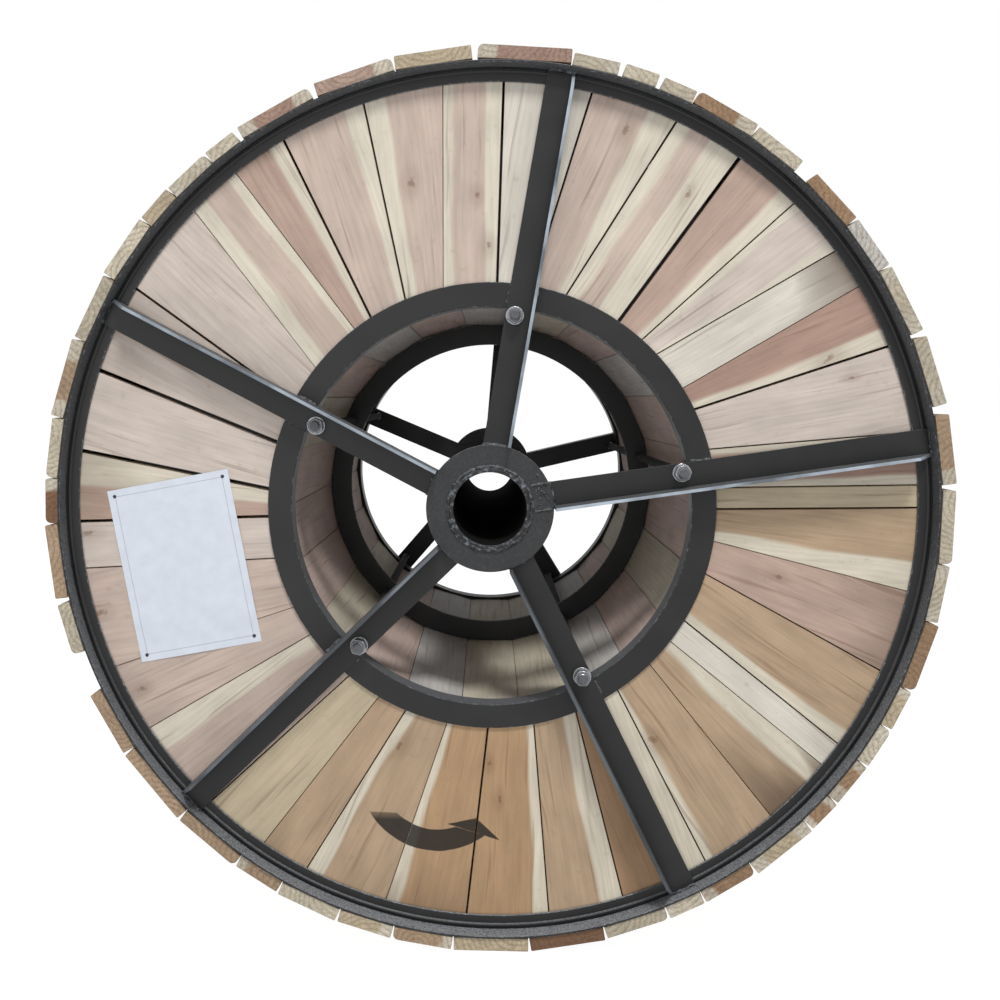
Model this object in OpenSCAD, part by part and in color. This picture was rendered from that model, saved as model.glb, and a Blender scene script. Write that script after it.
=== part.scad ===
// Cable drum of steel and wood, with wound cable and lagging boards.
// The drum's axis lies along Y, the front flange faces -Y, and the origin is the middle of the axis.

/* [Flanges] */
// Outside diameter of the steel rims
flange_dia = 1440; // [1340:10:1540]
// Clear width between the two flanges
traverse = 810; // [600:10:1000]
// Thickness of the flange planks
plank_t = 25; // [18:1:32]

/* [Rims] */
// Wall of the rolled rim section
rim_wall = 4; // [3:0.5:6]
// Width of the rim's two flat legs
rim_leg = 27; // [24:1:40]
// How far the lip stands past the outer leg
rim_lip = 24; // [15:1:40]
// Radius of the half-round stiffening bead
bead_r = 4; // [3:0.5:5]
// Height of the bead above the leg
bead_h = 2.5; // [1:0.5:3]
// Distance from the lip to the middle of the bead
bead_inset = 6.5; // [6:0.5:9]

/* [Inner rings] */
// Diameter of the open middle of each flange
ring_bore = 662; // [580:2:720]
// Wall of the ring's channel section
ring_wall = 4; // [3:0.5:6]
// Width of the ring's two flat legs
ring_leg = 40; // [30:1:60]

/* [Spokes] */
// Leg length of the spoke's steel angle
spoke_leg = 45; // [40:1:60]
// Wall of the spoke's steel angle
spoke_wall = 5; // [4:0.5:8]
// Length of the mitre at the outer end of the standing leg
spoke_mitre = 35; // [10:1:60]
// How far the middle of the flat leg lies beside a line through the hub's middle
spoke_shift = 6.5; // [0:0.5:12]

/* [Hub] */
// Diameter of the hub plates
hub_dia = 210; // [180:2:300]
// Thickness of the hub plates
hub_t = 10; // [6:1:16]
// Bore of the arbor tube
arbor_bore = 120; // [80:1:130]
// Wall of the arbor tube
arbor_wall = 6.5; // [4:0.5:10]
// How far the arbor tube stands past the hub plates
arbor_stand = 4; // [0:1:20]

/* [Barrel] */
// Number of staves round the barrel
stave_count = 22; // [16:1:30]
// Thickness of the staves
stave_t = 24; // [18:1:30]
// How far the staves lie outside the ring's bore
stave_step = 5; // [4:1:12]
// Leg length of the hoop's steel angle
hoop_leg = 42; // [36:1:60]
// Wall of the hoop's steel angle
hoop_wall = 5; // [4:0.5:8]

/* [Tie rods] */
// Diameter of the tie rods
rod_dia = 16; // [10:1:20]
// Clear distance from the rods out to the rings and the hoop
rod_clear = 4.7; // [1:0.1:8]
// Distance from the middle of a spoke's flat leg to its rod
rod_offset = 7; // [0:0.5:10]
// Diameter of the washers
washer_dia = 30; // [26:1:36]
// Thickness of the washers
washer_t = 3; // [2:0.5:5]
// Width of the nuts across their flats
nut_flats = 24; // [22:1:30]
// Height of the nuts
nut_h = 13; // [8:1:20]
// How far the rods stand past the nuts
rod_stand = 6; // [2:1:20]

/* [Cable] */
// Distance from the wound cable out to the edge of the rims
freeboard = 100; // [60:5:250]

/* [Lagging] */
// Thickness of the lagging boards
board_t = 22; // [16:1:30]
// Gap between lagging boards
board_gap = 1.5; // [1:0.5:8]
// Width of the steel straps
strap_w = 32; // [16:1:40]
// Thickness of the steel straps
strap_t = 0.8; // [0.5:0.1:2]
// Distance from the drum's middle plane to each strap
strap_place = 240; // [100:10:270]

/* [Paper sheet] */
// Width of the sheet
sheet_w = 210; // [150:1:220]
// Length of the sheet
sheet_l = 297; // [210:1:300]
// Thickness of the sheet
sheet_t = 0.3; // [0.2:0.1:1]
// Tilt of the sheet, in degrees
sheet_tilt = 10.5; // [0:0.1:20]

/* [Hidden] */
$fn = 96;
// Room left between pieces that sit against each other
fit = 0.3;
// Extra radius of a hole over the rod in it
rod_room = 0.7;
// A cut reaches this far past the face that it opens
past = 1;

SIDES = ["front", "rear"];
SPOKES = [1, 2, 3, 4, 5];

// Angles are counted anticlockwise from +X as the front flange is seen
first_rod_angle = 82.5;
rod_pitch = 360 / len(SPOKES);

// Seams between the planks: angle at the rim, angle at the ring, width of the gap
PLANK_SEAMS = [
    [3, 5.5, 2], [10, 16, 2], [22, 26.5, 4], [31, 32, 1], [36.5, 44, 2], [45, 48.5, 2], [54.5, 55.5, 6],
    [64, 71.5, 3], [76, 80, 3], [88, 88, 4], [96, 103, 1], [107, 113, 3], [119, 122.5, 4],
    [127, 127, 1], [134.5, 142.5, 1], [148, 152.5, 4], [160.5, 163.5, 7], [172, 176, 7],
    [182, 182.5, 5], [188.5, 194.5, 2], [203, 208, 1], [213, 216, 1], [226.5, 231, 2], [236, 240.5, 1],
    [243, 248.5, 2], [255, 259.5, 1], [266.5, 270, 3], [278, 282, 2], [288.5, 293.5, 2],
    [301, 305.5, 2], [312, 316, 1], [322, 323.5, 1], [325.5, 330.5, 2], [337, 344, 2],
    [348.5, 352, 1], [360, 359.5, 3]
];

// Angles at which each lagging board starts and ends
BOARDS = [
    [3, 12], [13, 22], [22.5, 31.5], [31.5, 38.5], [38.5, 46], [48, 55], [55, 63.5], [63.5, 68],
    [68.5, 73], [73.5, 79.5], [79.5, 91.5], [92, 102], [102, 112.5], [113, 123.5], [124, 128.5],
    [128.5, 135], [135, 140], [140, 148.5], [148.5, 157.5], [157.5, 168], [168, 176], [176, 182],
    [182, 192], [192.5, 199.5], [205, 214], [214, 225], [225, 234.5], [234.5, 241], [241, 249.5],
    [249.5, 257], [257, 265], [265, 275], [275, 285], [285, 293.5], [293.5, 298.5], [298.5, 306],
    [306, 315], [315, 319.5], [319.5, 325.5], [325.5, 331], [331, 336.5], [336.5, 345.5], [345.5, 353],
    [353, 362.5]
];

// Radii, from the outside in
rim_r = flange_dia / 2;
lip_in_r = rim_r - rim_wall;
rim_in_r = rim_r - rim_leg;
wound_r = rim_r - freeboard;
bead_at_r = lip_in_r - bead_inset;
ring_r = ring_bore / 2;
ring_web_r = ring_r + ring_wall;
ring_out_r = ring_r + ring_leg;
stave_in_r = ring_r + stave_step;
hoop_r = stave_in_r - fit;
rod_at_r = min(ring_r, hoop_r - hoop_wall) - rod_clear - rod_dia / 2;
washer_r = min(washer_dia / 2, spoke_leg / 2 - max(spoke_wall, rod_offset) - fit);
hub_r = hub_dia / 2;
tube_r = arbor_bore / 2 + arbor_wall;

// Angle between a spoke and the line from the hub's middle to its rod
spoke_lean = asin((spoke_shift + rod_offset) / rod_at_r);

// Distances from the drum's middle plane, from the inside out
flange_in = traverse / 2;
plank_out = flange_in + rim_wall + plank_t;
leg_out = plank_out + rim_wall;
lip_out = leg_out + rim_lip;
spoke_out = leg_out + spoke_wall;
stand_out = leg_out + spoke_leg;
hub_out = spoke_out + hub_t;
tube_end = hub_out + arbor_stand;
washer_out = spoke_out + washer_t;
nut_out = washer_out + nut_h;
rod_end = nut_out + rod_stand;

// The sheet's middle on the front flange, halfway between the ring's bore and the rim's edge
sheet_at_r = (rim_r + ring_r) / 2;
sheet_angle = 191;

STEEL = [0.2, 0.2, 0.21];
ZINC = [0.78, 0.79, 0.8];
WOOD = [0.83, 0.74, 0.62];
OLD_WOOD = [0.55, 0.47, 0.4];
CABLE = [0.08, 0.08, 0.09];
PAPER = [0.9, 0.92, 0.95];

function polar(r, a) = [r * cos(a), r * sin(a)];
function rod_angle(n) = first_rod_angle + rod_pitch * (n - 1);
// Degrees that a length takes up on a circle
function arc_angle(length, r) = length / r * 180 / PI;
function half_angle(board) = (board[1] - board[0]) / 2;
function mid_angle(board) = (board[1] + board[0]) / 2;

// Turns a piece that lies along +X to an angle round the drum's axis
module around(a) {
    rotate([0, -a, 0]) children();
}

// Stands a shape drawn in X and Y up on the flange, from one distance out to another
module on_flange(from, to) {
    translate([0, -from, 0]) rotate([90, 0, 0]) linear_extrude(to - from) children();
}

// Turns a profile of radius and distance from the middle plane round the drum's axis
module turned() {
    rotate([90, 0, 0]) rotate_extrude() children();
}

// The front flange's pieces, or the same pieces mirrored for the rear flange
module flange_side(side) {
    if (side == "front") children();
    else mirror([0, 1, 0]) children();
}

// Rolled channel that holds the plank ends, with its lip and bead
module rim(side) {
    color(STEEL) flange_side(side) turned() {
        difference() {
            translate([rim_in_r, flange_in]) square([rim_leg, lip_out - flange_in]);
            translate([rim_in_r - past, flange_in + rim_wall]) square([lip_in_r - rim_in_r + past, plank_t]);
            translate([rim_in_r - past, leg_out]) square([lip_in_r - rim_in_r + past, rim_lip + past]);
        }
        intersection() {
            translate([bead_at_r, leg_out + bead_h - bead_r]) circle(bead_r);
            translate([bead_at_r - bead_r, leg_out - rim_wall / 2])
                square([2 * bead_r, rim_wall / 2 + bead_h]);
        }
    }
}

// Channel ring round the open middle
module inner_ring(side) {
    color(STEEL) flange_side(side) turned() difference() {
        translate([ring_r, flange_in]) square([ring_leg, leg_out - flange_in]);
        translate([ring_web_r, flange_in + rim_wall]) square([ring_leg, plank_t]);
    }
}

// One tapered board between two seams, with its straight ends inside rim and ring
module plank(seam, next) {
    rim_seat = lip_in_r - fit;
    ring_seat = ring_web_r + fit;
    rim_start = seam[0] + arc_angle(seam[2] / 2, rim_seat);
    rim_stop = next[0] - arc_angle(next[2] / 2, rim_seat);
    ring_start = seam[1] + arc_angle(seam[2] / 2, ring_seat);
    ring_stop = next[1] - arc_angle(next[2] / 2, ring_seat);
    corner_r = ring_seat / cos((ring_stop - ring_start) / 2);
    on_flange(plank_out - plank_t, plank_out) polygon([
        polar(corner_r, ring_start), polar(rim_seat, rim_start),
        polar(rim_seat, rim_stop), polar(corner_r, ring_stop)
    ]);
}

module flange_planks(side) {
    last = len(PLANK_SEAMS) - 1;
    color(WOOD) flange_side(side) for (i = [0:last]) {
        seam = PLANK_SEAMS[i];
        next = i < last ? PLANK_SEAMS[i + 1] : PLANK_SEAMS[0] + [360, 360, 0];
        plank(seam, next);
    }
}

// Sets a spoke's bar on its rod, leaning one way on the front flange and the other way on the rear
module leaned(side) {
    if (side == "front") around(-spoke_lean) children();
    else mirror([0, 0, 1]) around(-spoke_lean) children();
}

// Steel angle along +X: its flat leg lies on the rim and ring, its standing leg is cut back at both ends
module spoke_bar() {
    low = spoke_shift - spoke_leg / 2;
    high = spoke_shift + spoke_leg / 2;
    inner_end = tube_r + fit;
    outer_end = sqrt(pow(lip_in_r - fit, 2) - pow(high, 2));
    translate([inner_end, -spoke_out, low]) cube([outer_end - inner_end, spoke_wall, spoke_leg]);
    translate([0, 0, low]) linear_extrude(spoke_wall) polygon([
        [hub_r + fit, -leg_out], [outer_end, -leg_out], [outer_end, -spoke_out],
        [outer_end - spoke_mitre, -stand_out], [hub_r + fit, -stand_out]
    ]);
}

module spoke(side, n) {
    color(STEEL) flange_side(side) around(rod_angle(n)) difference() {
        leaned(side) union() spoke_bar();
        translate([rod_at_r, 0, 0]) rotate([90, 0, 0]) cylinder(r = rod_dia / 2 + rod_room, h = stand_out);
        turned() translate([bead_at_r, leg_out + bead_h - bead_r]) circle(bead_r + fit);
    }
}

module hub_plate(side) {
    bore_r = tube_r + fit;
    color(STEEL) flange_side(side) turned() translate([bore_r, spoke_out]) square([hub_r - bore_r, hub_t]);
}

module arbor_tube() {
    color(STEEL) turned() translate([arbor_bore / 2, -tube_end]) square([arbor_wall, 2 * tube_end]);
}

// Flat square-edged boards set round in a ring, end to end between the flanges
module barrel_staves() {
    stave_w = 2 * stave_in_r * tan(180 / stave_count) - fit;
    color(OLD_WOOD) for (i = [0:stave_count - 1])
        around((i + 0.5) * 360 / stave_count)
            translate([stave_in_r, -flange_in, -stave_w / 2]) cube([stave_t, traverse, stave_w]);
}

// Angle ring that holds the staves up in the middle of the barrel
module barrel_hoop() {
    color(STEEL) difference() {
        turned() {
            translate([hoop_r - hoop_leg, 0]) square([hoop_leg, hoop_wall]);
            translate([hoop_r - hoop_wall, hoop_wall - hoop_leg]) square([hoop_wall, hoop_leg]);
        }
        for (n = SPOKES) around(rod_angle(n)) translate([rod_at_r, past, 0]) rotate([90, 0, 0])
            cylinder(r = rod_dia / 2 + rod_room, h = hoop_wall + 2 * past);
    }
}

// A piece at each end of each tie rod, drawn as a shape and stood from one distance out to another
module at_rod_ends(from, to) {
    for (side = SIDES) flange_side(side) for (n = SPOKES) around(rod_angle(n))
        translate([rod_at_r, 0, 0]) on_flange(from, to) children();
}

module tie_rods() {
    color(ZINC) for (n = SPOKES) around(rod_angle(n)) translate([rod_at_r, 0, 0])
        rotate([90, 0, 0]) cylinder(d = rod_dia, h = 2 * rod_end, center = true);
}

module tie_rod_washers() {
    color(ZINC) at_rod_ends(spoke_out, washer_out) difference() {
        circle(washer_r);
        circle(r = rod_dia / 2 + rod_room);
    }
}

module tie_rod_nuts() {
    color(ZINC) at_rod_ends(washer_out, nut_out) difference() {
        circle(d = nut_flats / cos(30), $fn = 6);
        circle(r = rod_dia / 2 + fit);
    }
}

// The wound cable as one turned solid over the corners of the staves
module cable_winding() {
    corner_r = norm([stave_in_r + stave_t, stave_in_r * tan(180 / stave_count)]) + fit;
    color(CABLE) turned() translate([corner_r, fit - flange_in])
        square([wound_r - corner_r, traverse - 2 * fit]);
}

// Boards across both rims, each flat on the rims at its middle
module lagging_boards() {
    color(WOOD) for (board = BOARDS) {
        board_w = 2 * rim_r * tan(half_angle(board)) - board_gap;
        around(mid_angle(board)) translate([rim_r + fit, -lip_out, -board_w / 2])
            cube([board_t, 2 * lip_out, board_w]);
    }
}

// Corners of a strap that lies on the boards, one between each board and the next
function strap_corners(lift) = [
    for (i = [0:len(BOARDS) - 1])
        let (
            next = i < len(BOARDS) - 1 ? BOARDS[i + 1] : BOARDS[0] + [360, 360],
            seam = (BOARDS[i][1] + next[0]) / 2,
            widest = max(seam - mid_angle(BOARDS[i]), mid_angle(next) - seam)
        )
        polar((rim_r + board_t + 2 * fit + lift) / cos(widest), seam)
];

module strap(n) {
    middle = (n == 1 ? 1 : -1) * strap_place;
    color(ZINC) on_flange(middle - strap_w / 2, middle + strap_w / 2) difference() {
        polygon(strap_corners(strap_t));
        polygon(strap_corners(0));
    }
}

module paper_sheet() {
    color(PAPER) around(sheet_angle) translate([sheet_at_r, 0, 0]) around(sheet_tilt - sheet_angle)
        on_flange(plank_out, plank_out + sheet_t) square([sheet_w, sheet_l], center = true);
}

for (side = SIDES) {
    rim(side);
    inner_ring(side);
    flange_planks(side);
    hub_plate(side);
    for (n = SPOKES) spoke(side, n);
}
arbor_tube();
barrel_staves();
barrel_hoop();
tie_rods();
tie_rod_washers();
tie_rod_nuts();
cable_winding();
lagging_boards();
for (n = [1, 2]) strap(n);
paper_sheet();
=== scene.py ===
"""Cable drum of black steel and sawn wood, with wound cable, lagging boards and a tacked sheet.

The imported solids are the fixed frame. Each operator dresses one piece, or one group of like pieces.
All lengths are in metres. The drum's axis lies along Y and its front flange faces -Y.
"""

import math
import random
from collections import namedtuple

import bmesh
import bpy
from mathutils import Matrix, Vector, noise


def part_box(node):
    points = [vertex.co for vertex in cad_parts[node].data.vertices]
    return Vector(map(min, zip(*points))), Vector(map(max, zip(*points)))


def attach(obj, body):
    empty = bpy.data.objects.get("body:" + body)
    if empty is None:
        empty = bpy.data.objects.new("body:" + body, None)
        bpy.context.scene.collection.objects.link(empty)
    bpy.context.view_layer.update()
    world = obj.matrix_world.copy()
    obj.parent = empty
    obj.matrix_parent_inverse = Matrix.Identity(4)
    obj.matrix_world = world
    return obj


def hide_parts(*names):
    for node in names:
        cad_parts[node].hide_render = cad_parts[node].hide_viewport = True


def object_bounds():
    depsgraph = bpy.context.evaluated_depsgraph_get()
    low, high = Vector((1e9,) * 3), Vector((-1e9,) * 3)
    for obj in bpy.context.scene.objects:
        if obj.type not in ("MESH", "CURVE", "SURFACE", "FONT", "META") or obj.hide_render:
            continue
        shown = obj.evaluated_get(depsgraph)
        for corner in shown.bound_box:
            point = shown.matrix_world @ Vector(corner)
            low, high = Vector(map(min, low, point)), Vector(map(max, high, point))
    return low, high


bl_info = {
    "name": "Cable Drum",
    "version": (1, 0, 0),
    "blender": (4, 5, 0),
    "location": "3D View > Sidebar > Cable Drum",
    "description": "Dresses a steel and wood cable drum piece by piece",
    "category": "Add Mesh",
}

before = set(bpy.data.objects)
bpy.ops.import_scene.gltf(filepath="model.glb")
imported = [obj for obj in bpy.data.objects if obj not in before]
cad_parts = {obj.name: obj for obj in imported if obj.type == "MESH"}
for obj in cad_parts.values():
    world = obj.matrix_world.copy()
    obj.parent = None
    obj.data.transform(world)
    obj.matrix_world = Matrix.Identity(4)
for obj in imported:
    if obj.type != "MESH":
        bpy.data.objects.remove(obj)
CAD_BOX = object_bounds()

SIDES = ("front", "rear")
SPOKES = (1, 2, 3, 4, 5)
OUTWARD = {"front": -1, "rear": 1}
FULL_TURN = 2 * math.pi
MERGE = 0.00002
SHARP = math.radians(25)
SMOOTH = math.radians(40)
AXIS = Vector((0, 1, 0))
# Cosine above which a face or an edge counts as looking along a direction
FACING = 0.9
# Steps in which round pieces are turned
RIM_STEPS = 240
RING_STEPS = 180
HUB_STEPS = 128
WELD_STEPS = 170
ROD_STEPS = 24
BARREL_STEPS = 160
# Boards are counted anticlockwise from this angle, as the front flange is seen
FIRST_BOARD = math.radians(4)

# Radii and distances from the middle plane, read from the frame
RIM_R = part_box("front_rim")[1][0]
LIP_OUT = -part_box("front_rim")[0][1]
FLANGE_IN = -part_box("front_rim")[1][1]
RING_OUT_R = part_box("front_inner_ring")[1][0]
LEG_OUT = -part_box("front_inner_ring")[0][1]
HUB_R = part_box("front_hub_plate")[1][0]
HUB_OUT = -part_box("front_hub_plate")[0][1]
SPOKE_OUT = -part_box("front_hub_plate")[1][1]
TUBE_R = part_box("arbor_tube")[1][0]
TUBE_END = -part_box("arbor_tube")[0][1]
HOOP_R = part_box("barrel_hoop")[1][0]
HOOP_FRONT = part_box("barrel_hoop")[0][1]
WOUND_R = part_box("cable_winding")[1][0]
WOUND_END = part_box("cable_winding")[1][1]
SHEET_MIDDLE = sum((Vector(corner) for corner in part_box("paper_sheet")), Vector()) / 2
SHEET_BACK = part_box("paper_sheet")[1][1]
FLOOR = CAD_BOX[0][2]

# Sizes and shares that need no setting

# How far the paint is rubbed off the edge of each spoke's standing leg; the spokes that point down get less,
# as painted shade that dims their bright strips
EDGE_WEAR_AND_SHADE = (1.0, 0.85, 0.4, 0.25, 1.0)
# Length of a ripple in a weld, how far its skin is uneven, and the gap between a weld and an edge
RIPPLE = 0.004
UNEVEN = 0.0017
WELD_GAP = 0.004
# Edges of washers and nuts, and the chamfer of a nut's corners
WASHER_EDGE = 0.0005
NUT_EDGE = 0.0004
NUT_CORNER = 0.0022
# Largest difference in thickness between staves
STAVE_SETBACK = 0.0015
# Largest difference in height between lagging boards, and the share of their corners that is rounded
LOWER = 0.0025
ROUNDED_SHARE = 0.22
# Rounding of a strap's edges, and of its seal the extra width, the parts and the depth of the notches
STRAP_EDGE = 0.0002
SEAL_WIDER = 0.003
SEAL_PARTS = 6
NOTCH_SHARE = 0.18
# Thickness of the sheet, its least distance from the planks, and the reach of a tack's hold
SHEET_WALL = 0.0001
SHEET_GAP = 0.0002
TACK_REACH = 0.06
CORNERS = ((-1, -1), (-1, 1), (1, -1), (1, 1))
# Outline of the arrow on the front flange, as places across (X) and up (Z)
ARROW_MIDDLE = Vector((-0.0914, 0, -0.455))
ARROW_BAND = (0.093, 0.130)
ARROW_TAIL = -0.5195
ARROW_HEAD = (Vector((-0.0736, 0, -0.538)), Vector((-0.0245, 0, -0.527)), Vector((0.014, 0, -0.564)))
ARROW_EDGE = 0.0007
# Place, side in metres and power in watts of each lamp
LAMPS = {
    "lamp_key": ((1.0, -3.62, 5.8), 1.3, 290),
    "lamp_front": ((-1.6, -4.0, 0.6), 3.0, 18),
}
FLOOR_SIZE = 60
# Share of the floor that glows to the eye, and how bright, so that it is white outside the shadow
GLOW_SHARE = 0.8
GLOW = 1.2
# Width of the camera's sensor in millimetres
SENSOR = 36

# A plank's heartwood, the share of its width that is sapwood at its first and its last edge, the
# shares of the way from rim to ring at which it has knots, and how dark the stain at its rim end is
Plank = namedtuple("Plank", "tone first last knots stain", defaults=(0, 0, (), 0))
PLANKS = (
    Plank("red", 0.15, 0.15),
    Plank("blush", knots=(0.26,)),
    Plank("red", 0.3, 0, (0.3,)),
    Plank("cream", stain=0.7),
    Plank("blush", 0.15, 0.15),
    Plank("rose", 0.25),
    Plank("pink", 0.45, 0.15, (0.3, 0.97)),
    Plank("pink", 0.3, 0, (0.06, 0.17)),
    Plank("cream"),
    Plank("pink", 0.25, 0.2, (0.53, 0.74)),
    Plank("pink", 0, 0.25, (0.43,)),
    Plank("pink", 0.25),
    Plank("rose", 0.3, 0, (0.05,)),
    Plank("pink", 0.2, 0.25),
    Plank("blush"),
    Plank("blush", 0, 0, (), 0.2),
    Plank("blush"),
    Plank("rose", 0.5, 0, (), 0.3),
    Plank("blush", knots=(0.09,)),
    Plank("pink", knots=(0.08,)),
    Plank("pink", 0, 0, (0.12,), 0.2),
    Plank("pink", 0.25, 0, (0.08,)),
    Plank("straw"),
    Plank("tan", 0, 0, (0.9,), 0.3),
    Plank("tan", 0.2, 0, (0.73,)),
    Plank("amber", 0.15, 0, (), 0.4),
    Plank("amber", 0, 0.2, (0.57, 0.73)),
    Plank("tan", 0, 0.28),
    Plank("brown", 0, 0.4, (0.52,)),
    Plank("tan", 0.12, 0, (0.62,)),
    Plank("tan", 0, 0.35, (), 0.8),
    Plank("cream"),
    Plank("tan", 0.18),
    Plank("rose", 0, 0, (0.6,), 0.4),
    Plank("tan", 0.35),
    Plank("straw"),
)
# Heartwood of the lagging boards, in the same order round the drum
LAGGING = (
    "tan", "buff", "buff", "pale", "brown", "buff", "brown", "buff", "buff", "buff", "red",
    "straw", "rose", "red", "buff", "buff", "straw", "buff", "buff", "tan", "buff", "dark",
    "tan", "buff", "tan", "tan", "tan", "tan", "buff", "straw", "tan", "straw", "dark",
    "buff", "buff", "brown", "straw", "brown", "amber", "buff", "straw", "brown", "buff", "buff",
)
# Heartwood of the barrel staves, in the same order
STAVES = (
    "rosy", "rosy", "grey", "rosy", "olive", "grey", "rosy", "grey", "rosy", "olive", "rosy",
    "rosy", "rosy", "olive", "rosy", "grey", "olive", "olive", "grey", "rosy", "olive", "rosy",
)


def linear(code):
    """Linear colour of an sRGB hex code."""
    parts = [int(code[i:i + 2], 16) / 255 for i in (1, 3, 5)]
    return tuple(c / 12.92 if c <= 0.04045 else ((c + 0.055) / 1.055) ** 2.4 for c in parts) + (1.0,)


TONES = {
    "pale": linear("#DCD8CE"),
    "cream": linear("#E0D8CA"),
    "buff": linear("#DCD2BA"),
    "blush": linear("#D8CABE"),
    "pink": linear("#CFBBAD"),
    "rose": linear("#C1A797"),
    "red": linear("#B39484"),
    "tan": linear("#BDA386"),
    "amber": linear("#BB9A76"),
    "straw": linear("#CBBB9E"),
    "brown": linear("#AB8B6C"),
    "dark": linear("#86644A"),
    "rosy": linear("#CFB9AE"),
    "grey": linear("#CAC6C1"),
    "olive": linear("#CBC2AE"),
}


def colour_of(name, code, description):
    """A colour property with its default from a hex code."""
    return bpy.props.FloatVectorProperty(
        name=name, description=description, subtype="COLOR", size=4, min=0, max=1, default=linear(code))


def length_of(name, default, description):
    """A length property, in metres."""
    return bpy.props.FloatProperty(
        name=name, description=description, unit="LENGTH", min=0, precision=4, default=default)


def turn_of(name, degrees, description):
    """An angle property."""
    return bpy.props.FloatProperty(
        name=name, description=description, subtype="ANGLE", default=math.radians(degrees))


class SteelSettings(bpy.types.PropertyGroup):
    """Rolled sections, welds and fasteners"""
    wall: length_of("Wall", 0.004, "Wall of the rolled rims and rings")
    rim_leg: length_of("Rim leg", 0.027, "Width of the rim's flat legs")
    ring_leg: length_of("Ring leg", 0.040, "Width of the inner ring's flat legs")
    bead_radius: length_of("Bead radius", 0.004, "Radius of the rim's stiffening bead")
    bead_height: length_of("Bead height", 0.0025, "Height of the bead above the leg")
    bead_inset: length_of("Bead inset", 0.0065, "Distance from the lip to the middle of the bead")
    bore: length_of("Arbor bore", 0.120, "Diameter of the arbor tube's bore")
    hoop_wall: length_of("Hoop wall", 0.005, "Wall of the barrel hoop's angle")
    hoop_leg: length_of("Hoop leg", 0.042, "Leg of the barrel hoop's angle")
    spoke_leg: length_of("Spoke leg", 0.045, "Leg of the spokes' angle")
    spoke_shift: length_of("Spoke shift", 0.0065, "How far a flat leg's middle lies beside the hub's middle")
    rod_offset: length_of("Rod offset", 0.007, "Distance from the middle of a spoke's flat leg to its rod")
    edge: length_of("Edge", 0.0012, "Rounding of the rolled edges")
    weld: length_of("Weld", 0.0085, "Width of a weld bead")
    spatter: bpy.props.IntProperty(name="Spatter", description="Drops of weld spatter on a hub", default=46)
    pitch: length_of("Pitch", 0.002, "Pitch of the tie rods' thread")
    thread: length_of("Thread", 0.024, "Length of the thread at each end of a rod")
    paint: colour_of("Paint", "#1C1C1C", "Satin black paint")
    thin_paint: colour_of("Thin paint", "#303030", "Paint where it is rubbed thin")
    dust: colour_of("Dust", "#9EA1A5", "Dust that settles on upward faces")
    bare: colour_of("Bare steel", "#B4BFCA", "Steel where the paint has rubbed off")
    zinc: colour_of("Zinc", "#C9CCD0", "Bright zinc plate of nuts, washers and rod ends")
    # This dark colour is painted shade in the arbor's bore and on the rods inside the barrel, and a dark film
    # on the flats of nuts and washers
    grease_and_shade: colour_of("Grease", "#1D1D1C", "Dark film in the arbor's bore and on the rods inside the barrel")


class WoodSettings(bpy.types.PropertyGroup):
    """Planks, staves and lagging boards"""
    edge: length_of("Edge", 0.0008, "Rounding of sawn edges")
    setback: length_of("Setback", 0.0012, "Largest difference in thickness between planks")
    worn_corner: length_of("Worn corner", 0.009, "Largest rounding of a lagging board's outer corner")
    short_end: length_of("Short end", 0.004, "Most that a lagging board is short at each end")
    sapwood: colour_of("Sapwood", "#E5DDC9", "Pale sapwood at a board's edge")
    knot: colour_of("Knot", "#6B4430", "Knots in the boards")
    grime: colour_of("Grime", "#6A5646", "Stains and handling marks")
    arrow: colour_of("Arrow", "#1F1E1D", "Stencil paint of the arrow that shows which way to roll")


class CableSettings(bpy.types.PropertyGroup):
    """Wound cable, straps and the tacked sheet"""
    diameter: length_of("Cable", 0.015, "Diameter of the wound cable")
    seal_length: length_of("Seal", 0.038, "Length of the crimped seal on a strap")
    seal_wall: length_of("Seal wall", 0.0016, "Height of a seal above its strap")
    sheet_width: length_of("Sheet width", 0.210, "Width of the sheet")
    sheet_length: length_of("Sheet length", 0.297, "Length of the sheet")
    sheet_lift: length_of("Sheet lift", 0.0022, "Most that the sheet bulges from the planks")
    sheet_tilt: turn_of("Sheet tilt", 10.5, "Turn of the sheet")
    tack: length_of("Tack", 0.006, "Diameter of a tack's head")
    tack_inset: length_of("Tack inset", 0.011, "Distance of a tack from the sheet's edges")
    seal_angle: turn_of("Seal angle", 153, "Where a strap's seal sits round the drum")
    border_inset: length_of("Border inset", 0.012, "Distance of the border line from the sheet's edges")
    jacket: colour_of("Jacket", "#1D1D1F", "Black polyethylene jacket")
    jacket_dust: colour_of("Jacket dust", "#8C8A86", "Dust on the jacket")
    strap: colour_of("Strap", "#5A5F66", "Steel strapping")
    paper: colour_of("Paper", "#E3E9F2", "Plain paper")
    border: colour_of("Border", "#AEB5C0", "Thin border line on the paper")
    tack_black: colour_of("Tack black", "#202022", "Lacquer of the tacks")


class StageSettings(bpy.types.PropertyGroup):
    """Camera, light and floor"""
    eye: bpy.props.FloatVectorProperty(
        name="Camera", description="Place of the camera", subtype="TRANSLATION", unit="LENGTH",
        default=(-0.0019, -1.9688, 0.1799))
    yaw: turn_of("Yaw", 2.69, "Turn of the view to the left")
    pitch: turn_of("Pitch", 2.81, "Turn of the view down")
    roll: turn_of("Roll", -0.27, "Turn about the line of sight")
    lens: bpy.props.FloatProperty(name="Lens", description="Focal length in millimetres", default=33.41)
    shift: bpy.props.FloatVectorProperty(
        name="Shift", description="Shift that the framing needs", size=2, default=(0.0550, -0.0554))
    floor: colour_of("Floor", "#F2F2F2", "Pale floor")
    daylight: colour_of("Daylight", "#F4F8FF", "Light that comes from all round")
    fill: bpy.props.FloatProperty(name="Fill", description="Strength of that light", default=0.35)


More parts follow.
